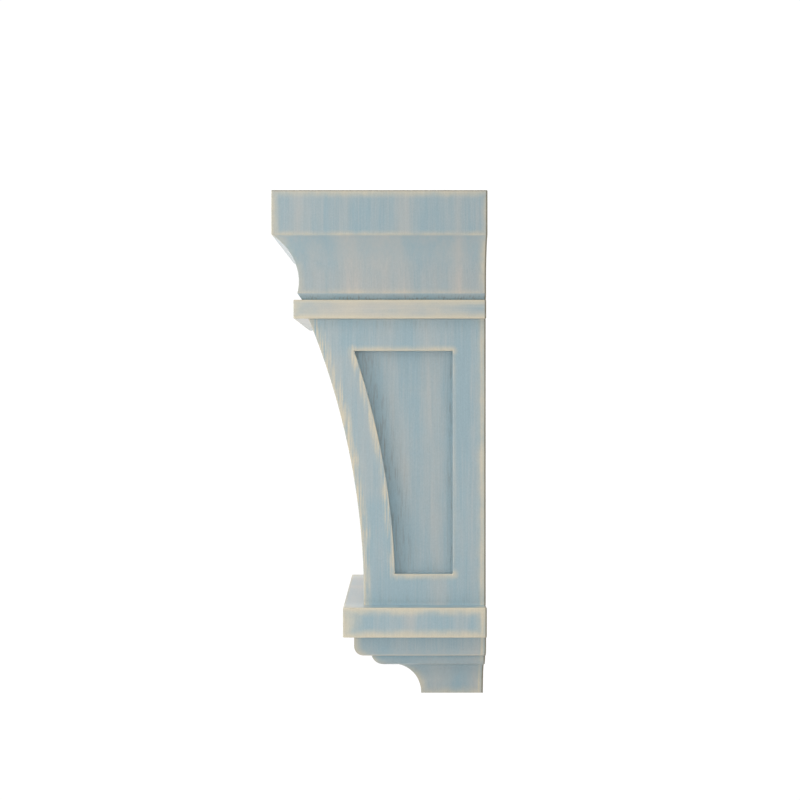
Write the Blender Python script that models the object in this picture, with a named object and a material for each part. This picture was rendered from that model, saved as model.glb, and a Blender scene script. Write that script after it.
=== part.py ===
"""Painted wooden corbel: moulded crown, plate, curved bracket with sunk side panels, block and foot.

Metres, +Z up. The wall is the plane y = 0, the corbel stands out from it towards -Y, and X runs
across its width. The origin is at the middle of the back, halfway up. Below, "out" is a distance
from the wall, "half" is half a width, and "level" is a height along Z.
"""
import math

import bmesh
import bpy

# Overall size
HEIGHT = 0.4572
PROJECTION = 0.1905
WIDTH = 0.1778

# Heights of the five stacked pieces below the crown's top; the bracket takes what is left
CROWN_HEIGHT = 0.0952
PLATE_HEIGHT = 0.0170
BLOCK_HEIGHT = 0.0266
FOOT_HEIGHT = 0.0614
GLUE_GAP = 0.0003

# Crown: a fascia board, a big cove under it and a small chamfer below the cove's lip
FASCIA_HEIGHT = 0.0392
CROWN_COVE_RADIUS = 0.0458
CROWN_COVE_BREAK = math.radians(30.3)
CROWN_COVE_LIP = math.radians(103.5)
CROWN_CHAMFER_OUT = 0.0042
CROWN_SIDE_SHARE = 0.62

# Plate and base block, plain boards
PLATE_OUT = 0.1724
PLATE_HALF = 0.0763
BLOCK_OUT = 0.1278
BLOCK_HALF = 0.0825

# Bracket: its front is one arc, deepest a little above the base block
BRACKET_HALF = 0.0712
BRACKET_TOP_OUT = 0.1594
BRACKET_WAIST_OUT = 0.1096
BRACKET_WAIST_RISE = 0.0058

# Sunk panel on each side of the bracket, with the widths of the frame left around it
PANEL_DEPTH = 0.0080
PANEL_TOP_RAIL = 0.0287
PANEL_BOTTOM_RAIL = 0.0280
PANEL_WALL_STILE = 0.0297
PANEL_FRONT_STILE = 0.0284

# Foot: a bed moulding with a rounded lower edge, then an ogee that ends in the foot's own cove
BED_OUT = 0.1182
BED_HALF = 0.0747
BED_HEIGHT = 0.0196
BED_ROUND = 0.0105
BED_SIDE_ROUND = 0.0075
OVOLO_RADIUS = 0.0140
OVOLO_TOP_HALF = 0.0646
OGEE_FLAT = 0.0010
OGEE_HALF = 0.0555
FOOT_COVE_RADIUS = 0.0310
FOOT_OUT = 0.0574
FOOT_HALF = 0.0404

# Softened arrises and how finely the curves are divided
ARRIS = 0.0008
ARRIS_SEGMENTS = 2
CROWN_COVE_STEPS = 24
BRACKET_ARC_STEPS = 36
ROUND_STEPS = 8
FOOT_COVE_STEPS = 14
SHARP_ANGLE = math.radians(30)

# Worn blue paint over wood, one shade for each piece
PAINT = {
    "crown": (0.36, 0.44, 0.46),
    "plate": (0.50, 0.50, 0.46),
    "bracket": (0.35, 0.43, 0.46),
    "base_block": (0.44, 0.48, 0.47),
    "foot": (0.34, 0.42, 0.44),
}
PAINT_ROUGHNESS = 0.6

# Levels of the joints between the pieces
TOP = HEIGHT / 2
CROWN_BOTTOM = TOP - CROWN_HEIGHT
PLATE_BOTTOM = CROWN_BOTTOM - PLATE_HEIGHT
FOOT_BOTTOM = -HEIGHT / 2
FOOT_TOP = FOOT_BOTTOM + FOOT_HEIGHT
BLOCK_TOP = FOOT_TOP + BLOCK_HEIGHT


def clear_scene():
    """Remove the objects that the file opens with."""
    for thing in list(bpy.data.objects):
        bpy.data.objects.remove(thing, do_unlink=True)


def painted(name):
    """A worn paint finish in the shade of the named piece."""
    material = bpy.data.materials.new(name + "_paint")
    material.use_nodes = True
    shader = material.node_tree.nodes["Principled BSDF"]
    shader.inputs["Base Color"].default_value = (*PAINT[name], 1.0)
    shader.inputs["Roughness"].default_value = PAINT_ROUGHNESS
    shader.inputs["Metallic"].default_value = 0.0
    return material


def add_object(name, form):
    """Turn a finished bmesh into a named object with smooth rounds and sharp arrises."""
    bmesh.ops.recalc_face_normals(form, faces=form.faces)
    mesh = bpy.data.meshes.new(name)
    form.to_mesh(mesh)
    form.free()
    mesh.shade_smooth()
    mesh.set_sharp_from_angle(angle=SHARP_ANGLE)
    thing = bpy.data.objects.new(name, mesh)
    bpy.context.scene.collection.objects.link(thing)
    if name in PAINT:
        mesh.materials.append(painted(name))
    return thing


def soften(thing):
    """Round a piece's arrises slightly."""
    bevel = thing.modifiers.new("arrises", "BEVEL")
    bevel.width = ARRIS
    bevel.segments = ARRIS_SEGMENTS
    bevel.limit_method = "ANGLE"
    bevel.angle_limit = SHARP_ANGLE
    return thing


def arc(centre_out, centre_level, radius, start, end, steps):
    """Points (out, level) on an arc; angles turn from straight out towards straight up."""
    points = []
    for step in range(steps + 1):
        angle = start + (end - start) * step / steps
        out = centre_out + radius * math.cos(angle)
        level = centre_level + radius * math.sin(angle)
        points.append((out, level))
    return points


def moulded_solid(name, stations):
    """A block whose rectangular section changes from station to station, mitred at its corners.

    Each station is (out, half, level), from the top one down.
    """
    form = bmesh.new()
    rings = []
    for out, half, level in stations:
        corners = [(-half, 0.0), (half, 0.0), (half, -out), (-half, -out)]
        rings.append([form.verts.new((x, y, level)) for x, y in corners])
    for upper, lower in zip(rings, rings[1:]):
        for side in range(4):
            after = (side + 1) % 4
            form.faces.new((upper[side], upper[after], lower[after], lower[side]))
    form.faces.new(rings[0])
    form.faces.new(rings[-1])
    return add_object(name, form)


def board(name, out, half, top, bottom):
    """A plain rectangular board against the wall."""
    return soften(moulded_solid(name, [(out, half, top), (out, half, bottom)]))


def crown():
    """The crown: its cove is cut deeper at the front than at the sides."""
    break_level = TOP - FASCIA_HEIGHT
    centre_out = PROJECTION + CROWN_COVE_RADIUS * math.sin(CROWN_COVE_BREAK)
    centre_level = break_level - CROWN_COVE_RADIUS * math.cos(CROWN_COVE_BREAK)
    start = math.pi / 2 + CROWN_COVE_BREAK
    end = math.pi / 2 + CROWN_COVE_LIP
    profile = [(PROJECTION, TOP)]
    profile += arc(centre_out, centre_level, CROWN_COVE_RADIUS, start, end, CROWN_COVE_STEPS)
    lip_out = profile[-1][0]
    profile.append((lip_out - CROWN_CHAMFER_OUT, CROWN_BOTTOM))
    stations = []
    for out, level in profile:
        half = WIDTH / 2 - CROWN_SIDE_SHARE * (PROJECTION - out)
        stations.append((out, half, level))
    return soften(moulded_solid("crown", stations))


def bracket_front():
    """Radius and centre (out, level) of the arc of the bracket's front."""
    waist = BLOCK_TOP + BRACKET_WAIST_RISE
    reach = BRACKET_TOP_OUT - BRACKET_WAIST_OUT
    rise = PLATE_BOTTOM - waist
    radius = (rise * rise + reach * reach) / (2 * reach)
    return radius, BRACKET_WAIST_OUT + radius, waist


def curved_outline(back, top, bottom, setback, steps):
    """A side outline: the arc of the front moved in by setback, closed by straight lines at back."""
    radius, centre_out, centre_level = bracket_front()
    radius += setback
    start = math.pi - math.asin((top - centre_level) / radius)
    end = math.pi - math.asin((bottom - centre_level) / radius)
    outline = [(back, bottom), (back, top)]
    outline += arc(centre_out, centre_level, radius, start, end, steps)
    return outline


def extruded(name, outline, left, right):
    """A solid with the given side outline of (out, level) points, from x = left to x = right."""
    form = bmesh.new()
    loops = []
    for x in (left, right):
        loops.append([form.verts.new((x, -out, level)) for out, level in outline])
    count = len(outline)
    for here in range(count):
        after = (here + 1) % count
        form.faces.new((loops[0][here], loops[0][after], loops[1][after], loops[1][here]))
    form.faces.new(loops[0])
    form.faces.new(loops[1])
    return add_object(name, form)


def bracket():
    """The curved bracket, with a panel sunk in each side that follows its front."""
    top = PLATE_BOTTOM - GLUE_GAP
    outline = curved_outline(0.0, top, BLOCK_TOP, 0.0, BRACKET_ARC_STEPS)
    body = extruded("bracket", outline, -BRACKET_HALF, BRACKET_HALF)
    panel_top = PLATE_BOTTOM - PANEL_TOP_RAIL
    panel_bottom = BLOCK_TOP + PANEL_BOTTOM_RAIL
    panel = curved_outline(
        PANEL_WALL_STILE, panel_top, panel_bottom, PANEL_FRONT_STILE, BRACKET_ARC_STEPS
    )
    floor = BRACKET_HALF - PANEL_DEPTH
    beyond = BRACKET_HALF + PANEL_DEPTH
    for side, left, right in (("left", -beyond, -floor), ("right", floor, beyond)):
        cutter = extruded("panel_cutter_" + side, panel, left, right)
        cutter.hide_render = True
        cutter.display_type = "WIRE"
        cut = body.modifiers.new("panel_" + side, "BOOLEAN")
        cut.operation = "DIFFERENCE"
        cut.solver = "EXACT"
        cut.object = cutter
    return soften(body)


def foot():
    """The foot: bed moulding, ovolo and cove, each set in from the one above.

    Its small rounds leave no room for softened arrises, so they stay sharp.
    """
    top = FOOT_TOP - GLUE_GAP
    bed_bottom = FOOT_TOP - BED_HEIGHT
    ogee_level = FOOT_BOTTOM + FOOT_COVE_RADIUS
    ogee_out = FOOT_OUT + FOOT_COVE_RADIUS
    stations = [(BED_OUT, BED_HALF, top)]

    # The bed moulding's lower edge is rounded further in at the front than at the sides
    round_centre = BED_OUT - BED_ROUND
    for out, level in arc(
        round_centre, bed_bottom + BED_ROUND, BED_ROUND, 0.0, -math.pi / 2, ROUND_STEPS
    ):
        half = BED_HALF - (BED_OUT - out) * BED_SIDE_ROUND / BED_ROUND
        stations.append((out, half, level))

    # The ovolo starts under the bed moulding and runs flat into the cove
    ovolo_centre = ogee_out + OGEE_FLAT
    ovolo_level = ogee_level + OVOLO_RADIUS
    start = math.asin((bed_bottom - ovolo_level) / OVOLO_RADIUS)
    ovolo = arc(ovolo_centre, ovolo_level, OVOLO_RADIUS, start, -math.pi / 2, ROUND_STEPS)
    ovolo_out = ovolo[0][0]
    for out, level in ovolo:
        share = (out - ogee_out) / (ovolo_out - ogee_out)
        stations.append((out, OGEE_HALF + share * (OVOLO_TOP_HALF - OGEE_HALF), level))

    for out, level in arc(
        ogee_out, FOOT_BOTTOM, FOOT_COVE_RADIUS, math.pi / 2, math.pi, FOOT_COVE_STEPS
    ):
        share = (out - FOOT_OUT) / FOOT_COVE_RADIUS
        stations.append((out, FOOT_HALF + share * (OGEE_HALF - FOOT_HALF), level))
    return moulded_solid("foot", stations)


def main():
    clear_scene()
    crown()
    board("plate", PLATE_OUT, PLATE_HALF, CROWN_BOTTOM - GLUE_GAP, PLATE_BOTTOM)
    bracket()
    board("base_block", BLOCK_OUT, BLOCK_HALF, BLOCK_TOP - GLUE_GAP, FOOT_TOP)
    foot()


main()
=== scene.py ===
"""Worn blue wooden corbel: its five pieces, their rubbed paint and the stage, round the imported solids.

Metres, +Z up. The wall is the plane y = 0 and the corbel stands out from it towards -Y. "Out" is a
distance from the wall, "half" is half a width, and "level" is a height along Z.
"""
import math
from typing import NamedTuple

import bmesh
import bpy
import numpy as np
from bpy.props import FloatProperty, FloatVectorProperty, PointerProperty
from bpy.types import Operator, Panel, PropertyGroup
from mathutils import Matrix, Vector


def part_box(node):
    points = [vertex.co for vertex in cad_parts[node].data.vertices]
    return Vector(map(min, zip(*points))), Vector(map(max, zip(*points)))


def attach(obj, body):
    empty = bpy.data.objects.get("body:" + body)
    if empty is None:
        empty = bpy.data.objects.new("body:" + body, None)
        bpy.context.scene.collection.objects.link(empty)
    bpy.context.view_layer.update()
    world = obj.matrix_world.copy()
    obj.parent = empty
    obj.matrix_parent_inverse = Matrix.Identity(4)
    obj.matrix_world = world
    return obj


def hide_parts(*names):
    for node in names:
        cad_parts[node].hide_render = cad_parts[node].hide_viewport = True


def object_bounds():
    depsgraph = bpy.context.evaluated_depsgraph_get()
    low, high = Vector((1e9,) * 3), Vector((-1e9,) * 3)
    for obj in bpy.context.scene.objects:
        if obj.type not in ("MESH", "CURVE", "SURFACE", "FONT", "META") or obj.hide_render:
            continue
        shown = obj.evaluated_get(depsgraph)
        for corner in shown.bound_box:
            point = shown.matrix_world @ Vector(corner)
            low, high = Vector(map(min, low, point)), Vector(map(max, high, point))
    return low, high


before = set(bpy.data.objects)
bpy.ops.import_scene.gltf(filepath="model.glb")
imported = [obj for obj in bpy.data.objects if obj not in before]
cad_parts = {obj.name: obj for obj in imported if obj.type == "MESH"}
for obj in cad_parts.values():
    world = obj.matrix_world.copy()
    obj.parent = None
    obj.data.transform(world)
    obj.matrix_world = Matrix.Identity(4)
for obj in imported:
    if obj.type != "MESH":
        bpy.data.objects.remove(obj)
CAD_BOX = [list(corner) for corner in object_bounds()]

bl_info = {
    "name": "Worn Blue Corbel",
    "version": (1, 0, 0),
    "blender": (4, 5, 0),
    "location": "View3D > Sidebar > Corbel",
    "description": "Builds a painted wooden corbel with rubbed edges, one piece at a time",
    "category": "Add Mesh",
}

BODY = "root"

# How finely the pieces are divided, and the angle past which an edge is an arris
PITCH = 0.0020
FINE_PITCH = 0.0012
FOOT_PITCH = 0.0015
UNDERSIDE_PITCH = 0.0025
CURVE_POINTS = 25
PANEL_POINTS = 21
ARRIS_SEGMENTS = 3
CAP_OFFSETS = (0.001, 0.0025, 0.0045, 0.007, 0.010, 0.014, 0.020, 0.028, 0.038, 0.050, 0.064, 0.080)
WELD = 0.00002
SHARP_ANGLE = math.radians(30)

# Pieces stand this close on each other
JOINT = 0.00005

# The key light comes from the corbel's front and near side
KEY_DIRECTION = (0.485, -0.87, 0.10)

# Wear spreads evenly from an upright arris, up and down from a level one, and hardly into a recess
EVEN = (1.0, 1.0, 1.0)
UP_THE_SIDES = (3.0, 3.0, 1.0)
ON_THE_FRAME = (3.5, 1.0, 1.0)

# How torn the edge of the wear is: soft where a cloth rubbed it, torn where the grain runs out
SOFT = 0.04
TORN = 0.90

# Distances from the wall: of a thin bare line down the sides, of the edge of the back's raw wood,
# and past which the tops of the boards are painted lighter, a painted reflection of the bright surround
SCRIBE_OUT = 0.0038
RAW_OUT = 0.0008
LEDGE_OUT = 0.104

# How thin the paint is rubbed where nothing reaches it
SHELTERED_WEAR = 0.16

# Width of the camera's sensor in millimetres
SENSOR_WIDTH = 36.0

# Each piece's solid and the solid on top of it
ABOVE = {"plate": "crown", "bracket": "plate", "base_block": "bracket", "foot": "base_block"}


class Arris(NamedTuple):
    """A line of wear, and how much further apart places seem from it along each axis."""

    points: list
    reach: float
    strength: float
    stretch: tuple = EVEN
    torn: float = SOFT


def corners(node):
    """Lowest and highest corner of a piece: its solid, with the glue joint over it closed."""
    low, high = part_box(node)
    if node in ABOVE:
        high.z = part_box(ABOVE[node])[0].z - JOINT
    return low, high


def length(name, description, default):
    """A size that the user may change."""
    return FloatProperty(name=name, description=description, default=default, unit="LENGTH",
                         subtype="DISTANCE", precision=4)


def amount(name, description, default):
    """A plain number from 0 up that the user may change."""
    return FloatProperty(name=name, description=description, default=default, min=0.0)


def colour(name, description, default):
    """A colour that the user may change, as sRGB values."""
    return FloatVectorProperty(name=name, description=description, default=default, size=3, min=0.0,
                               max=1.0, subtype="COLOR_GAMMA")


class CorbelCrownSizes(PropertyGroup):
    """Sizes of the crown."""

    fascia: length("Fascia height", "Height of the flat band at the top", 0.0392)
    cove_radius: length("Cove radius", "Radius of the big cove", 0.0458)
    cove_break: FloatProperty(name="Cove break", description="Slope at which the cove leaves the fascia",
                              default=math.radians(30.3), subtype="ANGLE")
    cove_lip: FloatProperty(name="Cove lip", description="Slope at which the cove ends",
                            default=math.radians(103.5), subtype="ANGLE")
    chamfer: length("Chamfer", "How far the chamfer under the cove is cut back", 0.0042)
    side_share: amount("Side share", "Depth of the cove at the sides over its depth at the front", 0.62)


class CorbelBracketSizes(PropertyGroup):
    """Sizes of the curved bracket and its sunk panels."""

    top_out: length("Top projection", "How far the bracket stands out at its top", 0.1594)
    waist_out: length("Waist projection", "How far it stands out at its waist", 0.1096)
    waist_rise: length("Waist rise", "Height of the waist over the base block", 0.0058)
    panel_depth: length("Panel depth", "How deep the side panels are sunk", 0.0080)
    top_rail: length("Top rail", "Width of the frame over the panel", 0.0287)
    bottom_rail: length("Bottom rail", "Width of the frame under the panel", 0.0280)
    wall_stile: length("Wall stile", "Width of the frame at the wall", 0.0297)
    front_stile: length("Front stile", "Width of the frame along the curved front", 0.0284)


class CorbelFootSizes(PropertyGroup):
    """Sizes of the foot's mouldings."""

    bed_height: length("Bed height", "Height of the bed moulding", 0.0196)
    bed_round: length("Bed round", "Radius of the bed moulding's lower edge", 0.0105)
    bed_side_round: length("Bed side round", "How far that edge is rounded in at the sides", 0.0075)
    ovolo_radius: length("Ovolo radius", "Radius of the ovolo under the bed moulding", 0.0140)
    ovolo_half: length("Ovolo half width", "Half width at the top of the ovolo", 0.0646)
    ogee_flat: length("Ogee flat", "Flat between the ovolo and the cove", 0.0010)
    ogee_half: length("Ogee half width", "Half width at the top of the cove", 0.0555)
    cove_radius: length("Cove radius", "Radius of the foot's cove", 0.0310)
    foot_out: length("Foot projection", "How far the foot's lowest edge stands out", 0.0574)
    foot_half: length("Foot half width", "Half width of the foot's lowest edge", 0.0404)


class CorbelFinish(PropertyGroup):
    """Colours of the paint and depth of the wear."""

    paint: colour("Paint", "Blue paint where it is whole", (0.566, 0.660, 0.692))
    rubbed: colour("Rubbed paint", "Paint rubbed thin", (0.715, 0.705, 0.678))
    bare: colour("Bare edge", "Pale wood and primer on rubbed edges", (0.792, 0.754, 0.662))
    # Crevice: darker paint gathered in deep corners, and painted shade in them too
    crevice: colour("Crevice", "Darker paint gathered in a deep corner", (0.41, 0.55, 0.60))
    glaze: colour("Glaze", "Dark line of glaze along the wall edge and the top", (0.43, 0.41, 0.34))
    raw: colour("Raw wood", "Unpainted wood of the back", (0.74, 0.66, 0.53))
    arris: length("Arris", "Rounding of the edges", 0.0008)
    roughness: amount("Roughness", "Roughness of the paint", 0.31)
    wax: amount("Wax", "How much of a satin wax coat lies on the paint", 0.25)
    grain_height: length("Grain height", "Height of the grain under the paint", 0.00010)


class CorbelStage(PropertyGroup):
    """Camera, light and floor."""

    lens: FloatProperty(name="Lens", description="Focal length on a 36 mm sensor", default=43.56,
                        unit="CAMERA")
    camera_x: length("Camera distance", "Distance of the camera from the corbel's middle plane", 0.9408)
    camera_out: length("Camera out", "Distance of the camera from the wall plane", 0.0771)
    camera_level: length("Camera level", "Height of the camera", 0.0437)
    surround: amount("Surround", "Brightness of the white surround as it is seen", 1.05)
    soft_light: amount("Soft light", "Brightness of the even light from all round", 0.02)
    soft_boxes: amount("Soft boxes", "Brightness of the six soft boxes at their middle", 2.90)
    from_above: amount("From above", "How much brighter the light is straight above", 0.12)
    key: amount("Key light", "Power of the soft light at the corbel's front, in watts", 4.8)
    key_size: length("Key size", "Width of that light", 0.90)
    key_distance: length("Key distance", "How far it stands off", 1.1)
    floor_drop: length("Floor drop", "How far the floor lies under the foot", 1.2)
    floor_size: length("Floor size", "Width of the floor", 4.0)


def in_use(sockets):
    """The sockets that their node's settings leave in use."""
    return [socket for socket in sockets if socket.enabled]


class Nodes:
    """Adds nodes to a tree. A value for a socket is another node's output or a constant."""

    def __init__(self, tree):
        self.tree = tree

    def give(self, socket, value):
        if isinstance(value, bpy.types.NodeSocket):
            self.tree.links.new(value, socket)
        else:
            socket.default_value = value

    def add(self, kind, values=None, **settings):
        made = self.tree.nodes.new(kind)
        for name, value in settings.items():
            setattr(made, name, value)
        for key, value in (values or {}).items():
            self.give(next(socket for socket in in_use(made.inputs) if socket.name == key), value)
        return made

    def fill(self, made, values):
        """Give a node's inputs their values in order; its first output is the result."""
        for socket, value in zip(in_use(made.inputs), values):
            self.give(socket, value)
        return in_use(made.outputs)[0]

    def math(self, operation, *values, clamp=False):
        return self.fill(self.add("ShaderNodeMath", operation=operation, use_clamp=clamp), values)

    def plus(self, *values):
        return self.math("ADD", *values)

    def minus(self, *values):
        return self.math("SUBTRACT", *values)

    def times(self, *values, **settings):
        return self.math("MULTIPLY", *values, **settings)

    def over(self, *values, **settings):
        return self.math("DIVIDE", *values, **settings)

    def scaled(self, *values, **settings):
        """The first value times the second, plus the third."""
        return self.math("MULTIPLY_ADD", *values, **settings)

    def vector(self, operation, *values):
        return self.fill(self.add("ShaderNodeVectorMath", operation=operation), values)

    def split(self, vector):
        return self.add("ShaderNodeSeparateXYZ", {"Vector": vector}).outputs

    def join(self, x, y, z):
        return self.add("ShaderNodeCombineXYZ", {"X": x, "Y": y, "Z": z}).outputs[0]

    def named(self, name):
        """A number that the mesh keeps under this name."""
        made = self.add("GeometryNodeInputNamedAttribute", {"Name": name}, data_type="FLOAT")
        return in_use(made.outputs)[0]

    def blend(self, share, first, second, kind="RGBA"):
        """First where share is 0, second where it is 1."""
        return self.fill(self.add("ShaderNodeMix", data_type=kind), (share, first, second))

    def ramp(self, value, low, high):
        """0 at low and 1 at high, eased at both ends."""
        made = self.add("ShaderNodeMapRange", {"Value": value, "From Min": low, "From Max": high},
                        interpolation_type="SMOOTHSTEP")
        return made.outputs[0]


def tree_socket(tree, name, kind, incoming=True):
    """Add a named socket to a tree's own interface."""
    tree.interface.new_socket(name, in_out="INPUT" if incoming else "OUTPUT", socket_type=kind)


def geometry_tree(name, lengths, counts):
    """An empty geometry tree with its named inputs."""
    tree = bpy.data.node_groups.new(name, "GeometryNodeTree")
    tree_socket(tree, "Geometry", "NodeSocketGeometry")
    for label in lengths:
        tree_socket(tree, label, "NodeSocketFloat")
    for label in counts:
        tree_socket(tree, label, "NodeSocketInt")
    tree_socket(tree, "Material", "NodeSocketMaterial")
    tree_socket(tree, "Geometry", "NodeSocketGeometry", incoming=False)
    return tree


def finish_tree(add, geometry, start):
    """Every tree ends in real geometry with its material."""
    real = add.add("GeometryNodeRealizeInstances", {"Geometry": geometry}).outputs[0]
    painted = add.add("GeometryNodeSetMaterial", {"Geometry": real, "Material": start["Material"]})
    end = add.add("NodeGroupOutput")
    add.give(end.inputs[0], painted.outputs[0])


def mitred_moulding_tree():
    """A moulding wrapped round the front and both sides of a block, with mitred corners.

    The points of its source mesh are the stations of the mitre at the right front corner, from the
    middle of the top face down to the middle of the bottom face: x is the half width, -y how far
    the station stands out, z its level, and "back" how far its ring stays off the wall.
    """
    counts = ("Side steps", "Front steps", "Back steps")
    tree = geometry_tree("Mitred moulding", (), counts)
    add = Nodes(tree)
    start = add.add("NodeGroupInput").outputs
    stations = start["Geometry"]
    side = start["Side steps"]
    front = start["Front steps"]
    back = start["Back steps"]
    sizes = add.add("GeometryNodeAttributeDomainSize", {"Geometry": stations}, component="MESH")
    rows = sizes.outputs["Point Count"]
    before_back = add.plus(add.times(side, 2), front)
    columns = add.plus(add.plus(before_back, back), 1)
    grid = add.add("GeometryNodeMeshGrid", {"Vertices X": columns, "Vertices Y": rows}).outputs["Mesh"]
    index = add.add("GeometryNodeInputIndex").outputs[0]
    column = add.math("FLOOR", add.over(index, rows))
    row = add.minus(index, add.times(column, rows))

    def sampled(kind, value):
        node = add.add("GeometryNodeSampleIndex", data_type=kind, domain="POINT")
        return add.fill(node, (stations, value, row))

    position = sampled("FLOAT_VECTOR", add.add("GeometryNodeInputPosition").outputs[0])
    setback = sampled("FLOAT", add.named("back"))
    parts = add.split(position)

    # How far along the right side, the front, the left side and the back a column lies, each 0 to 1
    past_side = add.minus(column, side)
    past_front = add.minus(past_side, front)
    past_all = add.minus(column, before_back)
    along_right = add.over(column, side, clamp=True)
    along_front = add.over(past_side, front, clamp=True)
    along_left = add.over(past_front, side, clamp=True)
    along_back = add.over(past_all, back, clamp=True)
    across = add.minus(along_back, along_front)
    across = add.plus(add.times(across, 2), 1)
    x = add.times(parts[0], across)
    outward = add.minus(along_right, along_left)
    reach = add.times(add.plus(parts[1], setback), outward)
    y = add.minus(reach, setback)
    place = add.join(x, y, parts[2])
    moved = add.add("GeometryNodeSetPosition", {"Geometry": grid, "Position": place}).outputs[0]
    welded = add.add("GeometryNodeMergeByDistance", {"Geometry": moved, "Distance": WELD}).outputs[0]
    finish_tree(add, welded, start)
    return tree


def curved_bracket_tree():
    """A block whose front is an arc, with a panel sunk in each side that follows the arc."""
    lengths = ("Half width", "Bottom level", "Bottom rail", "Panel height", "Top rail", "Wall stile",
               "Front stile", "Arc radius", "Arc out", "Arc level", "Panel depth")
    counts = ("Stile steps", "Rail steps", "Panel steps", "Width steps", "Depth steps")
    tree = geometry_tree("Curved bracket", lengths, counts)
    add = Nodes(tree)
    start = add.add("NodeGroupInput").outputs
    stile = start["Stile steps"]
    rail = start["Rail steps"]
    tall = start["Panel steps"]
    total_out = add.times(stile, 3)
    total_up = add.plus(add.times(rail, 2), tall)
    box = add.add("GeometryNodeMeshCube", {
        "Size": (1.0, 1.0, 1.0),
        "Vertices X": add.plus(start["Width steps"], 1),
        "Vertices Y": add.plus(total_out, 1),
        "Vertices Z": add.plus(total_up, 1),
    }).outputs["Mesh"]
    spot = add.add("GeometryNodeInputPosition").outputs[0]
    parts = add.split(spot)

    # Steps out from the wall, and steps up from the bottom
    out_step = add.times(add.minus(0.5, parts[1]), total_out)
    up_step = add.times(add.plus(parts[2], 0.5), total_up)
    level = start["Bottom level"]
    for label, first, steps in (("Bottom rail", 0, rail), ("Panel height", rail, tall),
                                ("Top rail", add.plus(rail, tall), rail)):
        share = add.over(add.minus(up_step, first), steps, clamp=True)
        level = add.plus(level, add.times(share, start[label]))
    rise = add.minus(level, start["Arc level"])
    rise_squared = add.times(rise, rise)

    def arc_out(radius):
        run = add.math("SQRT", add.minus(add.times(radius, radius), rise_squared))
        return add.minus(start["Arc out"], run)

    edges = (start["Wall stile"], arc_out(add.plus(start["Arc radius"], start["Front stile"])),
             arc_out(start["Arc radius"]))
    out = 0.0
    inner = 0.0
    for zone, edge in enumerate(edges):
        first = add.times(stile, zone)
        share = add.over(add.minus(out_step, first), stile, clamp=True)
        gain = add.times(share, add.minus(edge, inner))
        out = add.plus(out, gain)
        inner = edge
    x = add.times(add.times(parts[0], 2), start["Half width"])
    place = add.join(x, add.times(out, -1), level)

    # The panels' faces are marked on the plain block, before it takes its shape
    normal = add.add("GeometryNodeInputNormal").outputs[0]
    facing = add.split(normal)[0]
    panel = add.math("GREATER_THAN", add.math("ABSOLUTE", facing), 0.5)
    for value, first, last in ((out_step, stile, add.times(stile, 2)),
                               (up_step, rail, add.plus(rail, tall))):
        inside = add.times(add.math("GREATER_THAN", value, first), add.math("LESS_THAN", value, last))
        panel = add.times(panel, inside)
    marked = add.add("GeometryNodeStoreNamedAttribute",
                     {"Geometry": box, "Name": "panel", "Value": panel},
                     data_type="FLOAT", domain="FACE")
    block = marked.outputs[0]
    shaped = add.add("GeometryNodeSetPosition", {"Geometry": block, "Position": place}).outputs[0]
    chosen = add.math("GREATER_THAN", add.named("panel"), 0.5)
    step_depth = add.over(start["Panel depth"], -3)
    for _ in range(3):
        sunk = add.add("GeometryNodeExtrudeMesh", {"Mesh": shaped, "Selection": chosen,
                                                   "Offset Scale": step_depth, "Individual": False},
                       mode="FACES")
        shaped = sunk.outputs["Mesh"]
        chosen = sunk.outputs["Top"]
    finish_tree(add, shaped, start)
    return tree


def placed(name, data):
    """A new object in the scene."""
    thing = bpy.data.objects.new(name, data)
    bpy.context.scene.collection.objects.link(thing)
    return thing


def grown(name, source, tree, values):
    """Run a geometry tree on a source mesh and keep the result as a plain mesh object."""
    thing = placed(name, source)
    modifier = thing.modifiers.new("shape", "NODES")
    modifier.node_group = tree
    for item in tree.interface.items_tree:
        if item.item_type == "SOCKET" and item.in_out == "INPUT" and item.name in values:
            modifier[item.identifier] = values[item.name]
    graph = bpy.context.evaluated_depsgraph_get()
    mesh = bpy.data.meshes.new_from_object(thing.evaluated_get(graph), depsgraph=graph)
    thing.modifiers.remove(modifier)
    thing.data = mesh
    mesh.name = name
    bpy.data.meshes.remove(source)
    form = bmesh.new()
    form.from_mesh(mesh)
    bmesh.ops.recalc_face_normals(form, faces=form.faces)
    form.to_mesh(mesh)
    form.free()
    mesh.shade_smooth()
    mesh.set_sharp_from_angle(angle=SHARP_ANGLE)
    return thing


def arc(centre, radius, start, end, pitch=PITCH):
    """Points (out, level) on an arc; angles turn from straight out towards straight up."""
    steps = max(2, math.ceil(abs(end - start) * radius / pitch))
    points = []
    for step in range(steps + 1):
        angle = start + (end - start) * step / steps
        points.append((centre[0] + radius * math.cos(angle), centre[1] + radius * math.sin(angle)))
    return points


def straight(start, end, pitch=PITCH):
    """Points after start up to end, evenly spaced."""
    steps = max(1, math.ceil(math.dist(start, end) / pitch))
    points = []
    for step in range(1, steps + 1):
        share = step / steps
        points.append(tuple(a + (b - a) * share for a, b in zip(start, end)))
    return points


def cap(half, out, level):
    """Stations that close a flat end, from its edge to its middle."""
    limit = min(half, out / 2)
    offsets = [offset for offset in CAP_OFFSETS if offset < limit - 0.001] + [limit]
    return [(half - offset, out - offset, level, offset) for offset in offsets]


def ring(half, out, level):
    """Corners of a line that runs along both sides and the front at one level."""
    return [(half, 0, level), (half, -out, level), (-half, -out, level), (-half, 0, level)]


def millimetres(*rows):
    """Rows of (place, half width, strength) with the first two in metres."""
    return [(place / 1000, width / 1000, strength) for place, width, strength in rows]


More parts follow.
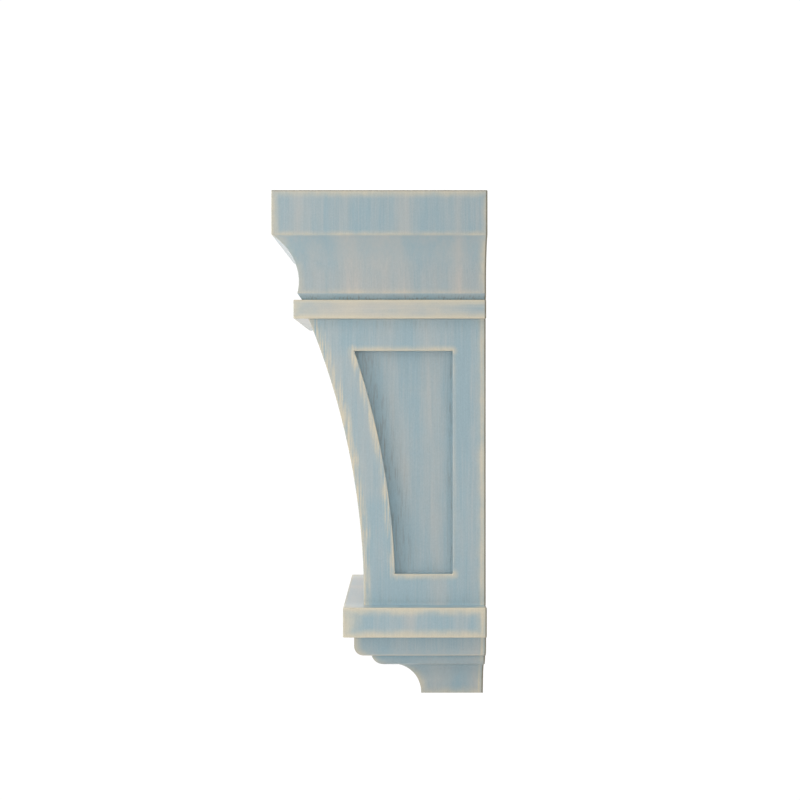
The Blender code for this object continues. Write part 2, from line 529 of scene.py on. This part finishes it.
def moulding(name, profile, material, arrises):
    """A piece from its profile of (half, out, level) points, from the top down."""
    top = profile[0]
    bottom = profile[-1]
    stations = list(reversed(cap(*top)))
    stations += [(half, out, level, 0.0) for half, out, level in profile]
    stations += cap(*bottom)
    source = bpy.data.meshes.new(name + "_stations")
    source.from_pydata([(half, -out, level) for half, out, level, _ in stations], [], [])
    back = source.attributes.new("back", "FLOAT", "POINT")
    back.data.foreach_set("value", [station[3] for station in stations])
    half = max(point[0] for point in profile)
    out = max(point[1] for point in profile)
    values = {
        "Side steps": math.ceil(out / PITCH),
        "Front steps": math.ceil(2 * half / PITCH),
        "Back steps": math.ceil(half / PITCH),
        "Material": material,
    }
    thing = grown(name, source, shared_tree("Mitred moulding", mitred_moulding_tree), values)
    lines = []
    for level, reach, strength in arrises["rings"]:
        nearest = min(profile, key=lambda point: abs(point[2] - level))
        lines.append(Arris(ring(*nearest), reach, strength, UP_THE_SIDES))
    for side in (-1, 1):
        lines.append(Arris([(side * h, -o, z) for h, o, z in profile], *arrises["front"]))
        lines.append(Arris([(side * h, 0, z) for h, o, z in profile], *arrises["wall"]))
        if "scribe" in arrises:
            lines.append(Arris([(side * h, -SCRIBE_OUT, z) for h, o, z in profile], *arrises["scribe"]))
    return thing, lines


def shared_tree(name, make):
    """The tree of that name, made the first time it is asked for."""
    return bpy.data.node_groups.get(name) or make()


def vectors(items, key, kind):
    """One vector of each item as the rows of an array."""
    values = np.empty(len(items) * 3, dtype=kind)
    items.foreach_get(key, values)
    return values.reshape(-1, 3)


def vertex_places(mesh):
    """All vertices of a mesh as an array."""
    return vectors(mesh.vertices, "co", float)


def vertex_normals(mesh):
    """The normals of a mesh's vertices as an array."""
    return vectors(mesh.vertex_normals, "vector", np.float32)


def store(mesh, name, values):
    """Keep one number for each vertex under a name that the paint reads."""
    kept = mesh.attributes.new(name, "FLOAT", "POINT")
    kept.data.foreach_set("value", np.asarray(values, dtype=np.float32))


def edge_wear(places, lines):
    """How strongly each place is rubbed by its nearness to the arrises, and how torn the wear is.

    The wear is 1 on a bare arris, 0 at its reach and less than that beyond.
    """
    wear = np.full(len(places), -1.0)
    weights = np.full(len(places), 1e-6)
    torn = np.zeros(len(places))
    for line in lines:
        near = np.full(len(places), np.inf)
        for first, last in zip(line.points, line.points[1:]):
            start = np.array(first, dtype=float)
            run = np.array(last, dtype=float) - start
            span = float(run @ run)
            if span == 0.0:
                continue
            share = np.clip((places - start) @ run / span, 0.0, 1.0)
            apart = (places - start - share[:, None] * run) * line.stretch
            near = np.minimum(near, np.linalg.norm(apart, axis=1))
        here = line.strength * (1.0 - near / line.reach)
        wear = np.maximum(wear, here)
        weight = np.exp(8.0 * here)
        weights += weight
        torn += weight * line.torn
    return wear, torn / weights


def band_wear(places, normals, bands):
    """Broad upright bands where the paint is rubbed thin.

    Each band is (place, half width, strength). Its place is a distance from the wall on both sides,
    and from the left arris on the front.
    """
    on_side = np.abs(normals[:, 0]) > 0.5
    along = np.where(on_side, -places[:, 1], places[:, 0] + places[:, 0].max())
    rubbed = np.zeros(len(places))
    for place, width, strength in bands:
        rubbed += strength * np.exp(-(((along - place) / width) ** 2))
    return rubbed


def worn_paint_group():
    """Blue paint over wood, brushed and rubbed along the grain, bare on its arrises, with darker paint
    and painted shade in its corners.
    """
    tree = bpy.data.node_groups.new("Worn paint", "ShaderNodeTree")
    for label in ("Paint", "Rubbed", "Bare", "Crevice", "Glaze", "Raw"):
        tree_socket(tree, label, "NodeSocketColor")
    tree_socket(tree, "Shift", "NodeSocketVector")
    for label in ("Roughness", "Grain height", "Top level", "Level grain", "Strands"):
        tree_socket(tree, label, "NodeSocketFloat")
    tree_socket(tree, "Color", "NodeSocketColor", incoming=False)
    tree_socket(tree, "Roughness", "NodeSocketFloat", incoming=False)
    tree_socket(tree, "Normal", "NodeSocketVector", incoming=False)
    add = Nodes(tree)
    start = add.add("NodeGroupInput").outputs
    coordinates = add.add("ShaderNodeTexCoord").outputs
    spot = coordinates["Object"]
    parts = add.split(spot)
    facing = add.split(coordinates["Normal"])

    # The grain runs up the sides and the front, however that leans, or along them on a level board,
    # and across the tops and undersides
    round_it = add.plus(parts[0], parts[1])
    level = add.join(parts[2], 0.0, round_it)
    turned = add.join(parts[2], parts[1], parts[0])
    flat = add.math("GREATER_THAN", add.math("ABSOLUTE", facing[2]), 0.95)
    front = add.math("LESS_THAN", add.math("ABSOLUTE", facing[0]), 0.5)
    upright = add.blend(front, spot, add.vector("MULTIPLY", spot, (1.0, 0.1, 1.0)), "VECTOR")
    standing = add.blend(start["Level grain"], upright, level, "VECTOR")
    along = add.blend(flat, standing, turned, "VECTOR")
    along = add.vector("ADD", along, start["Shift"])

    def noise(across, lengthwise, detail):
        scaled = add.vector("MULTIPLY", along, (across, across, lengthwise))
        made = add.add("ShaderNodeTexNoise", {"Vector": scaled, "Scale": 1.0, "Detail": detail,
                                              "Roughness": 0.55})
        return add.minus(made.outputs[0], 0.5)

    calm = add.ramp(add.math("ABSOLUTE", facing[2]), 0.15, 0.50)
    lively = add.scaled(calm, -0.65, 1.0)
    fine = add.times(noise(640.0, 20.0, 3.0), lively)
    streak = noise(330.0, 22.0, 2.0)
    dash = noise(600.0, 48.0, 2.0)
    broad = noise(45.0, 5.0, 2.0)
    cloud = noise(60.0, 45.0, 3.0)
    speck = add.times(noise(1100.0, 700.0, 1.0), lively)
    pores = noise(1500.0, 55.0, 1.0)

    def attribute(name):
        return add.add("ShaderNodeAttribute", attribute_name=name).outputs["Fac"]

    edge = attribute("edge_wear")
    torn = attribute("torn")
    crevice = attribute("crevice")

    # Rubbed thin: the broad bands, clouded and streaked along the grain
    thin = add.plus(broad, add.plus(attribute("band_wear"), 0.12))
    thin = add.scaled(streak, 0.35, thin)
    thin = add.scaled(fine, 0.40, thin)
    thin = add.scaled(cloud, 0.40, thin, clamp=True)

    # Bare: the arrises, here more and there less, with an edge torn into dashes along the grain
    half_way = add.times(edge, add.minus(1.0, edge))
    room = add.times(half_way, 4.0, clamp=True)
    fingers = add.plus(add.times(dash, 2.4), add.times(fine, 2.0))
    spread = add.scaled(fingers, torn, add.times(cloud, 0.9))
    ragged = add.scaled(spread, room, edge)
    bare = add.ramp(ragged, -0.08, 1.08)

    paint = add.blend(thin, start["Paint"], start["Rubbed"])
    paint = add.blend(bare, paint, start["Bare"])

    # Darker paint gathered in the corners, which is also painted shade there, brushed out along the
    # grain
    uneven = add.plus(add.times(streak, 1.2), add.times(cloud, 1.2))
    uneven = add.plus(fine, uneven)
    deep = add.times(crevice, add.plus(uneven, 1.0), clamp=True)
    paint = add.blend(deep, paint, start["Crevice"])
    strands = add.times(deep, add.ramp(dash, 0.0, 0.12))
    strands = add.times(strands, start["Strands"])
    paint = add.blend(strands, paint, start["Glaze"])

    # Dark glaze left in the last millimetre at the wall and along the top, raw wood on the back
    wall_line = add.ramp(parts[1], -0.0019, -0.0009)
    above = add.minus(parts[2], start["Top level"])
    top_line = add.ramp(above, -0.0015, -0.0005)
    top_line = add.times(top_line, add.scaled(flat, -0.75, 0.75))
    line = add.math("MAXIMUM", wall_line, top_line)
    line = add.times(line, add.scaled(streak, 1.2, 0.95, clamp=True))
    paint = add.blend(line, paint, start["Glaze"])
    at_wall = add.math("GREATER_THAN", parts[1], -RAW_OUT)
    behind = add.times(add.math("GREATER_THAN", facing[1], 0.9), at_wall)
    rings = add.scaled(fine, 0.9, add.scaled(streak, 0.4, 0.14), clamp=True)
    raw = add.blend(rings, start["Raw"], start["Glaze"])
    paint = add.blend(behind, paint, raw)

    # Grain shows as lighter and darker threads, with short dark pores. The paint is painted a little
    # lighter the further it stands out from the wall, a painted falloff of the key light, and lighter in
    # the joints where a crevice is below 0, a painted lift against the shade there
    painted_light = add.scaled(parts[1], -0.42, 0.96)
    painted_light = add.plus(painted_light, add.times(crevice, -1.0, clamp=True))
    grain_and_painted_light = add.scaled(fine, 0.15, painted_light)
    grain_and_painted_light = add.scaled(speck, 0.20, grain_and_painted_light)
    pit = add.ramp(pores, 0.17, 0.30)
    grain_and_painted_light = add.times(grain_and_painted_light, add.scaled(pit, -0.06, 1.0))
    shade = add.vector("MULTIPLY", paint, add.join(grain_and_painted_light, grain_and_painted_light, grain_and_painted_light))

    height = add.scaled(fine, 0.7, add.times(streak, 0.6))
    height = add.scaled(pit, -0.35, height)
    height = add.scaled(bare, -0.25, height)
    strength = add.scaled(calm, -0.55, 0.6)
    bump = add.add("ShaderNodeBump", {"Height": height, "Distance": start["Grain height"],
                                      "Strength": strength})
    rough = add.scaled(bare, 0.10, start["Roughness"])
    rough = add.scaled(fine, 0.15, rough)
    end = add.add("NodeGroupOutput")
    for label, value in (("Color", shade), ("Roughness", rough), ("Normal", bump.outputs[0])):
        add.give(end.inputs[label], value)
    return tree


def linear(shade):
    """sRGB values as the linear colour that a shader takes."""
    return tuple(v / 12.92 if v <= 0.04045 else ((v + 0.055) / 1.055) ** 2.4 for v in shade) + (1.0,)


def worn_paint(name, shift, top_level=1.0, shade=1.0, level_grain=0.0, strands=0.85):
    """The paint of one piece.

    Shift sets where in the wood its grain is cut, shade how dark it is, and strands how strongly
    dark glaze lies in its corners.
    """
    finish = bpy.context.scene.corbel_finish
    material = bpy.data.materials.new(name)
    material.use_nodes = True
    tree = material.node_tree
    shader = tree.nodes["Principled BSDF"]
    constants = {"Metallic": 0.0, "IOR": 1.5, "Specular IOR Level": 0.5, "Coat Weight": finish.wax,
                 "Coat Roughness": 0.15}
    for label, value in constants.items():
        shader.inputs[label].default_value = value
    group = tree.nodes.new("ShaderNodeGroup")
    group.node_tree = bpy.data.node_groups.get("Worn paint") or worn_paint_group()
    values = {
        "Glaze": linear(finish.glaze),
        "Raw": linear(finish.raw),
        "Shift": shift,
        "Roughness": finish.roughness,
        "Grain height": finish.grain_height,
        "Top level": top_level,
        "Level grain": level_grain,
        "Strands": strands,
    }
    for label in ("paint", "rubbed", "bare", "crevice"):
        shaded = [channel * shade for channel in getattr(finish, label)]
        values[label.capitalize()] = linear(shaded)
    for label, value in values.items():
        group.inputs[label].default_value = value
    for output, socket in (("Color", "Base Color"), ("Roughness", "Roughness"), ("Normal", "Normal")):
        tree.links.new(group.outputs[output], shader.inputs[socket])
    return material


def round_arrises(thing, joints):
    """Round every sharp edge slightly, apart from those that lie in a glue joint."""
    mesh = thing.data
    places = vertex_places(mesh)
    ends = np.empty(len(mesh.edges) * 2, dtype=np.int64)
    mesh.edges.foreach_get("vertices", ends)
    levels = places[ends.reshape(-1, 2), 2]
    sharp = np.zeros(len(mesh.edges), dtype=bool)
    mesh.attributes["sharp_edge"].data.foreach_get("value", sharp)
    for joint in joints:
        sharp &= ~(np.abs(levels - joint) < WELD).all(axis=1)
    weights = mesh.attributes.new("bevel_weight_edge", "FLOAT", "EDGE")
    weights.data.foreach_set("value", sharp.astype(np.float32))
    bevel = thing.modifiers.new("arrises", "BEVEL")
    bevel.width = bpy.context.scene.corbel_finish.arris
    bevel.segments = ARRIS_SEGMENTS
    bevel.limit_method = "WEIGHT"
    bevel.harden_normals = True


def hand_over(thing, node, joints, lines, bands, gathered_paint_and_shade_lines=(), pale=(), rubbed=0.0, base=-1.0,
              sheltered=False):
    """Give a finished piece its wear and rounded arrises, and put it in its CAD node's place.

    Crevice lines darken the paint: darker paint gathered in corners, and painted shade there. Pale lines
    are joints painted lighter, a painted lift against their shade. Rubbed adds to the bands' wear, base
    is the least wear that a place has, and what is sheltered keeps nearly all its paint.
    """
    mesh = thing.data
    places = vertex_places(mesh)
    wear, torn = edge_wear(places, lines)
    thinned = band_wear(places, vertex_normals(mesh), bands) + rubbed
    # Darker paint in the corners, partly gathered paint and partly painted shade, less the painted lift
    # of the pale lines
    darker = np.clip(edge_wear(places, gathered_paint_and_shade_lines)[0], 0.0, 1.0)
    painted_lift = np.clip(edge_wear(places, pale)[0], 0.0, 1.0)
    store(mesh, "edge_wear", np.where(sheltered, -1.0, np.maximum(wear, base)))
    store(mesh, "torn", torn)
    store(mesh, "band_wear", np.where(sheltered, SHELTERED_WEAR, thinned))
    store(mesh, "crevice", darker - painted_lift)
    round_arrises(thing, joints)
    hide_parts(node)
    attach(thing, BODY)


class CORBEL_OT_crown(Operator):
    """Build the crown: fascia, cove and chamfer, mitred at both front corners."""

    bl_idname = "corbel.crown"
    bl_label = "Crown"

    def execute(self, context):
        sizes = context.scene.corbel_crown
        low, high = corners("crown")
        out = -low.y
        top = high.z
        break_level = top - sizes.fascia
        centre = (out + sizes.cove_radius * math.sin(sizes.cove_break),
                  break_level - sizes.cove_radius * math.cos(sizes.cove_break))
        outline = [(out, top)]
        outline += straight((out, top), (out, break_level))
        turns = [math.pi / 2 + slope for slope in (sizes.cove_break, sizes.cove_lip)]
        outline += arc(centre, sizes.cove_radius, *turns)[1:]
        lip = outline[-1]
        outline += straight(lip, (lip[0] - sizes.chamfer, low.z), FINE_PITCH)
        profile = [(high.x - sizes.side_share * (out - o), o, z) for o, z in outline]
        arrises = {
            "rings": ((top, 0.0080, 0.84), (break_level, 0.0045, 0.54), (lip[1], 0.0055, 0.46)),
            "front": (0.0080, 0.40),
            "wall": (0.0060, 0.66),
        }
        paint = worn_paint("Worn blue paint of the crown", (0.31, 0.17, 0.05), top, shade=0.975,
                           strands=1.0)
        thing, lines = moulding("crown_moulding", profile, paint, arrises)
        for side in (-1, 1):
            fascia_front = [(side * h, -o, z) for h, o, z in profile if z >= break_level]
            lines.append(Arris(fascia_front, 0.0085, 0.81))
            cove_end = [(side * h, 0, z) for h, o, z in profile if lip[1] < z < break_level - 0.006]
            lines.append(Arris(cove_end, 0.0085, 0.85))
        # Painted shade: darker paint in the corner under the chamfer, where the crown meets the plate
        bottom = ring(*profile[-1])
        gathered_paint_and_shade_lines = [Arris(bottom, 0.0060, 0.56)]
        bands = millimetres((25, 5, 0.40), (126, 9, 0.16))
        places = vertex_places(thing.data)
        normals = vertex_normals(thing.data)
        down_cove = np.clip((break_level - places[:, 2]) / (break_level - lip[1]), 0.0, 1.0)
        fascia_bands = millimetres((73, 7, 0.48), (147, 4, 0.30), (167, 9, 0.40))
        cove_bands = millimetres((120, 11, 0.36), (91, 13, 0.22), (52, 12, 0.12))
        on_fascia = band_wear(places, normals, fascia_bands)
        # The cove is painted a little lighter than the fascia all over, painted light on a face that
        # leans down
        on_cove = 0.12 + band_wear(places, normals, cove_bands)
        rubbed = 0.24 * down_cove ** 1.5 + np.where(places[:, 2] < break_level, on_cove, on_fascia)
        hand_over(thing, "crown", (low.z,), lines, bands, gathered_paint_and_shade_lines, rubbed=rubbed,
                  sheltered=places[:, 2] < lip[1] - 0.0002)
        return {"FINISHED"}


class CORBEL_OT_boards(Operator):
    """Build the plate under the crown and the block under the bracket."""

    bl_idname = "corbel.boards"
    bl_label = "Plate and base block"

    def execute(self, context):
        rows = (
            ("plate", "top_plate", 0.0080, {"front": (0.0160, 0.72), "wall": (0.0050, 0.50)},
             millimetres((120, 45, 0.70), (60, 30, 0.35)), 0.38, 1.0),
            ("base_block", "base_board", 0.0090,
             {"front": (0.0205, 0.74), "wall": (0.0130, 0.78), "scribe": (0.0020, 1.0)},
             millimetres((68, 8, 0.5), (24, 6, 0.3)), -1.0, 0.0),
        )
        for number, (node, name, reach, arrises, bands, base, level_grain) in enumerate(rows):
            low, high = corners(node)
            edge = (high.x, -low.y, high.z)
            profile = [edge] + straight(edge, (high.x, -low.y, low.z))
            arrises["rings"] = ((high.z, reach, 0.96), (low.z, reach, 1.0))
            shift = (0.11 + 0.4 * number, 0.53, 0.23)
            paint = worn_paint("Worn blue paint of the " + node.replace("_", " "), shift,
                               level_grain=level_grain)
            thing, lines = moulding(name, profile, paint, arrises)
            places = vertex_places(thing.data)
            towards_wall = np.clip(-places[:, 1] / 0.050, 0.0, 1.0)
            least = np.where(base > 0.0, base * towards_wall, base)
            # Painted reflection: the boards' tops far out are painted lighter, as the bright surround
            # shows in them
            top_painted_reflection = (vertex_normals(thing.data)[:, 2] > 0.9) & (places[:, 1] < -LEDGE_OUT)
            # A thin painted lift on the block's top where the bracket stands on it, against the shade in
            # that corner
            pale = []
            if node == "base_block":
                stands_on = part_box("bracket")[1].x
                for x in (-stands_on, stands_on):
                    pale.append(Arris([(x, 0, high.z), (x, low.y, high.z)], 0.0130, 0.18))
            hand_over(thing, node, (), lines, bands, pale=pale, rubbed=np.where(top_painted_reflection, 0.60, 0.0),
                      base=least)
        return {"FINISHED"}


class CORBEL_OT_bracket(Operator):
    """Build the curved bracket with its two sunk panels."""

    bl_idname = "corbel.bracket"
    bl_label = "Bracket"

    def execute(self, context):
        sizes = context.scene.corbel_bracket
        low, high = corners("bracket")
        waist = low.z + sizes.waist_rise
        plate_bottom = corners("plate")[0].z
        reach = sizes.top_out - sizes.waist_out
        rise = plate_bottom - waist
        radius = (rise * rise + reach * reach) / (2 * reach)
        panel_bottom = low.z + sizes.bottom_rail
        panel_top = plate_bottom - sizes.top_rail
        paint = worn_paint("Worn blue paint of the bracket", (0.07, 0.71, 0.41))
        values = {
            "Half width": high.x,
            "Bottom level": low.z,
            "Bottom rail": sizes.bottom_rail,
            "Panel height": panel_top - panel_bottom,
            "Top rail": high.z - panel_top,
            "Wall stile": sizes.wall_stile,
            "Front stile": sizes.front_stile,
            "Arc radius": radius,
            "Arc out": sizes.waist_out + radius,
            "Arc level": waist,
            "Panel depth": sizes.panel_depth,
            "Stile steps": math.ceil(sizes.wall_stile / PITCH),
            "Rail steps": math.ceil(sizes.top_rail / PITCH),
            "Panel steps": math.ceil((panel_top - panel_bottom) / PITCH),
            "Width steps": math.ceil(2 * high.x / PITCH),
            "Material": paint,
        }
        source = bpy.data.meshes.new("bracket_start")
        source.from_pydata([(0.0, 0.0, 0.0)], [], [])
        tree = shared_tree("Curved bracket", curved_bracket_tree)
        thing = grown("curved_bracket", source, tree, values)

        def front(level, setback=0.0):
            run = math.sqrt((radius + setback) ** 2 - (level - waist) ** 2)
            return sizes.waist_out + radius - run

        def panel_edges(x, *rows):
            """Arrises of a panel: its curve, then its top, bottom and wall edge as far as rows go."""
            levels = np.linspace(panel_bottom, panel_top, PANEL_POINTS)
            curve = [(x, -front(z, sizes.front_stile), z) for z in levels]
            top = (x, -sizes.wall_stile, panel_top)
            bottom = (x, -sizes.wall_stile, panel_bottom)
            edges = (curve, [curve[-1], top], [curve[0], bottom], [bottom, top])
            return [Arris(points, reach, strength, ON_THE_FRAME, *torn)
                    for points, (reach, strength, *torn) in zip(edges, rows)]

        lines = []
        top_joint = ring(high.x, front(high.z), high.z)
        bottom_joint = ring(high.x, front(low.z), low.z)
        # Painted shade: darker paint along the joints under the plate and over the base block, with a
        # thin painted lift right in each joint against its contact shadow
        gathered_paint_and_shade_lines = [Arris(top_joint, 0.0120, 0.24), Arris(bottom_joint, 0.0160, 0.20)]
        pale = [Arris(top_joint, 0.0022, 0.44), Arris(bottom_joint, 0.0032, 0.56)]
        for side in (-1, 1):
            x = side * high.x
            sunk = x - side * sizes.panel_depth

            # The front arris is rubbed more over its upper three quarters, and most over its upper half
            curve = [(x, -front(z), z) for z in np.linspace(low.z, high.z, CURVE_POINTS)]
            lines += [
                Arris(curve, 0.0080, 0.60, torn=0.6),
                Arris(curve[CURVE_POINTS // 4:], 0.0105, 0.64, torn=TORN),
                Arris(curve[CURVE_POINTS // 2:], 0.0105, 0.75, torn=TORN),
                Arris([(x, 0, low.z), (x, 0, high.z)], 0.0100, 0.72),
                Arris([(x, -SCRIBE_OUT, low.z), (x, -SCRIBE_OUT, high.z)], 0.0018, 0.80),
            ]
            lines += panel_edges(x, (0.0075, 0.70, TORN), (0.0058, 0.86), (0.0065, 0.88), (0.0040, 0.32))
            # Painted shade: darker paint round each sunk panel's floor, widest along the front where the
            # frame shades it, with a thin painted lift along its edges
            gathered_paint_and_shade_lines += panel_edges(sunk, (0.0220, 0.52), (0.0140, 0.15), (0.0140, 0.22), (0.0080, 0.35))
            pale += panel_edges(sunk, (0.0022, 0.14), (0.0022, 0.26), (0.0024, 0.34))

        # The upper half of the front stile is rubbed all over
        places = vertex_places(thing.data)
        middle = sizes.front_stile / 2
        stiles = [Arris([(side * high.x, -front(z, middle), z) for z in np.linspace(-0.03, 0.07, 9)],
                        0.0240, 0.45) for side in (-1, 1)]
        rubbed = np.clip(edge_wear(places, stiles)[0], 0.0, 0.25) - 0.08

        # Two of the bands lean with the front, and the outer one fades towards the bottom
        level = places[:, 2]
        outer_band = np.interp(level, (-0.06, 0.0, 0.09), (0.068, 0.079, 0.088))
        inner_band = np.interp(level, (-0.13, -0.05, 0.09), (0.040, 0.047, 0.053))
        normals = vertex_normals(thing.data)
        outer_wear = band_wear(places, normals, [(outer_band, 0.009, 0.48)])
        rubbed += outer_wear * np.clip(1.4 + level / 0.05, 0.0, 1.0)
        rubbed += band_wear(places, normals, [(inner_band, 0.008, 0.45)])
        bands = millimetres((142, 5, 0.08), (111, 7, 0.10), (11, 4, 0.20))
        hand_over(thing, "bracket", (low.z, high.z), lines, bands, gathered_paint_and_shade_lines, pale, rubbed)
        return {"FINISHED"}


class CORBEL_OT_foot(Operator):
    """Build the foot: bed moulding, ovolo and cove."""

    bl_idname = "corbel.foot"
    bl_label = "Foot"

    def execute(self, context):
        sizes = context.scene.corbel_foot
        low, high = corners("foot")
        joint = corners("base_block")[0].z
        bed_out = -low.y
        bed_half = high.x
        bed_bottom = joint - sizes.bed_height
        profile = [(bed_half, bed_out, high.z)]
        round_centre = (bed_out - sizes.bed_round, bed_bottom + sizes.bed_round)
        outline = straight((bed_out, high.z), (bed_out, round_centre[1]), FOOT_PITCH)
        outline += arc(round_centre, sizes.bed_round, 0.0, -math.pi / 2, FINE_PITCH)[1:]
        share = sizes.bed_side_round / sizes.bed_round
        for out, level in outline:
            profile.append((bed_half - (bed_out - out) * share, out, level))

        # Under the bed moulding the ovolo starts further in, and runs flat into the cove
        ogee_out = sizes.foot_out + sizes.cove_radius
        ogee_level = low.z + sizes.cove_radius
        centre = (ogee_out + sizes.ogee_flat, ogee_level + sizes.ovolo_radius)
        first = math.asin((bed_bottom - centre[1]) / sizes.ovolo_radius)
        ovolo = arc(centre, sizes.ovolo_radius, first, -math.pi / 2, FINE_PITCH)
        ovolo_out = ovolo[0][0]
        cove = arc((ogee_out, low.z), sizes.cove_radius, math.pi / 2, math.pi, FOOT_PITCH)
        under = []
        for out, level in ovolo + cove:
            if out > ogee_out:
                share = (out - ogee_out) / (ovolo_out - ogee_out)
                half = sizes.ogee_half + share * (sizes.ovolo_half - sizes.ogee_half)
            else:
                share = (out - sizes.foot_out) / sizes.cove_radius
                half = sizes.foot_half + share * (sizes.ogee_half - sizes.foot_half)
            under.append((half, out, level))
        profile += straight(profile[-1], under[0], UNDERSIDE_PITCH)[:-1] + under
        arrises = {
            "rings": ((bed_bottom + 0.001, 0.0045, 0.86), (ogee_level + 0.0008, 0.0035, 0.80),
                      (low.z, 0.0078, 0.62)),
            "front": (0.0085, 0.74),
            "wall": (0.0074, 0.64),
            "scribe": (0.0019, 0.95),
        }
        bands = millimetres((41, 9, 0.24), (8, 3.5, 0.45), (16, 5, 0.12))
        # The foot's paint is darker all over, painted shade for its place under the base block's
        # overhang
        paint = worn_paint("Worn blue paint of the foot", (0.61, 0.37, 0.83), shade=0.945, strands=0.25)
        thing, lines = moulding("foot_moulding", profile, paint, arrises)
        # Painted shade: darker paint under the bed moulding and a wide band of painted shadow at the top
        # of the cove under the ovolo, with a thin painted lift along the ovolo's foot
        gathered_paint_and_shade_lines = [Arris(ring(*under[0]), 0.0060, 0.46),
                    Arris(ring(sizes.ogee_half, ogee_out, ogee_level - 0.0060), 0.0190, 0.74)]
        pale = [Arris(ring(sizes.ogee_half, ogee_out, ogee_level + 0.0016), 0.0032, 0.56)]
        level = vertex_places(thing.data)[:, 2]
        stops = (low.z, ogee_level, ogee_level + 0.004, bed_bottom, bed_bottom + 0.001, high.z - 0.004)
        hand_over(thing, "foot", (high.z,), lines, bands, gathered_paint_and_shade_lines, pale,
                  rubbed=np.interp(level, stops, (0.10, 0.24, 0.20, 0.0, 0.20, -0.05)))
        return {"FINISHED"}


class CORBEL_OT_stage(Operator):
    """Set the pale floor, the white surround, the soft light and the camera."""

    bl_idname = "corbel.stage"
    bl_label = "Stage"

    def execute(self, context):
        scene = context.scene
        stage = scene.corbel_stage
        level = CAD_BOX[0][2] - stage.floor_drop
        half = stage.floor_size / 2
        mesh = bpy.data.meshes.new("floor")
        mesh.from_pydata([(-half, -half, level), (half, -half, level), (half, half, level),
                          (-half, half, level)], [], [(0, 1, 2, 3)])
        floor = placed("floor", mesh)
        pale = bpy.data.materials.new("Pale floor")
        pale.use_nodes = True
        shader = pale.node_tree.nodes["Principled BSDF"]
        shader.inputs["Base Color"].default_value = (0.92, 0.92, 0.92, 1.0)
        shader.inputs["Roughness"].default_value = 0.9
        mesh.materials.append(pale)
        floor.visible_diffuse = False

        # The surround is white as it is seen. Its light comes from six broad soft boxes, square to the
        # corbel's faces, because x^8 + y^8 + z^8 is 1 along each axis and little between them.
        world = bpy.data.worlds.new("White surround")
        world.use_nodes = True
        world.cycles.sampling_method = "NONE"
        add = Nodes(world.node_tree)
        ground = world.node_tree.nodes["Background"]
        ground.inputs["Color"].default_value = (1.0, 1.0, 1.0, 1.0)
        direction = add.add("ShaderNodeTexCoord").outputs["Object"]
        upward = add.split(direction)[2]
        squares = add.vector("MULTIPLY", direction, direction)
        fourths = add.vector("MULTIPLY", squares, squares)
        boxes = add.vector("DOT_PRODUCT", fourths, fourths)
        glow = add.scaled(boxes, stage.soft_boxes, stage.soft_light)
        glow = add.scaled(upward, stage.from_above, glow)
        held_back = add.minus(glow, stage.surround)
        matt = add.add("ShaderNodeLightPath").outputs["Is Diffuse Ray"]
        add.give(ground.inputs["Strength"], add.scaled(matt, held_back, stage.surround))
        scene.world = world
        scene.view_settings.view_transform = "Standard"

        lamp = bpy.data.lights.new("key_light", "AREA")
        lamp.size = stage.key_size
        lamp.energy = stage.key
        key_light = placed("key_light", lamp)
        away = Vector(KEY_DIRECTION).normalized()
        key_light.location = Vector((0.0, CAD_BOX[0][1] / 2, 0.0)) + away * stage.key_distance
        key_light.rotation_euler = (-away).to_track_quat("-Z", "Y").to_euler()
        key_light.visible_camera = False

        lens = bpy.data.cameras.new("camera")
        lens.lens = stage.lens
        lens.sensor_width = SENSOR_WIDTH
        camera = placed("camera", lens)
        camera.location = (stage.camera_x, -stage.camera_out, stage.camera_level)
        camera.rotation_euler = (math.radians(90), 0.0, math.radians(90))
        scene.camera = camera
        return {"FINISHED"}


class CORBEL_PT_pieces(Panel):
    """Lists the corbel's pieces and its stage."""

    bl_idname = "CORBEL_PT_pieces"
    bl_label = "Corbel"
    bl_space_type = "VIEW_3D"
    bl_region_type = "UI"
    bl_category = "Corbel"

    def draw(self, context):
        for piece in OPERATORS:
            self.layout.operator(piece.bl_idname)
        for name in GROUPS:
            group = getattr(context.scene, name)
            box = self.layout.box()
            for label in group.bl_rna.properties.keys():
                if label not in ("rna_type", "name"):
                    box.prop(group, label)


OPERATORS = (CORBEL_OT_crown, CORBEL_OT_boards, CORBEL_OT_bracket, CORBEL_OT_foot, CORBEL_OT_stage)
GROUPS = {
    "corbel_crown": CorbelCrownSizes,
    "corbel_bracket": CorbelBracketSizes,
    "corbel_foot": CorbelFootSizes,
    "corbel_finish": CorbelFinish,
    "corbel_stage": CorbelStage,
}


def register():
    for name, group in GROUPS.items():
        bpy.utils.register_class(group)
        setattr(bpy.types.Scene, name, PointerProperty(type=group))
    for kind in OPERATORS + (CORBEL_PT_pieces,):
        bpy.utils.register_class(kind)


def unregister():
    for kind in reversed(OPERATORS + (CORBEL_PT_pieces,)):
        bpy.utils.unregister_class(kind)
    for name, group in reversed(GROUPS.items()):
        delattr(bpy.types.Scene, name)
        bpy.utils.unregister_class(group)


def main():
    register()
    bpy.ops.corbel.crown()
    bpy.ops.corbel.boards()
    bpy.ops.corbel.bracket()
    bpy.ops.corbel.foot()
    bpy.ops.corbel.stage()


if __name__ == "__main__":
    main()
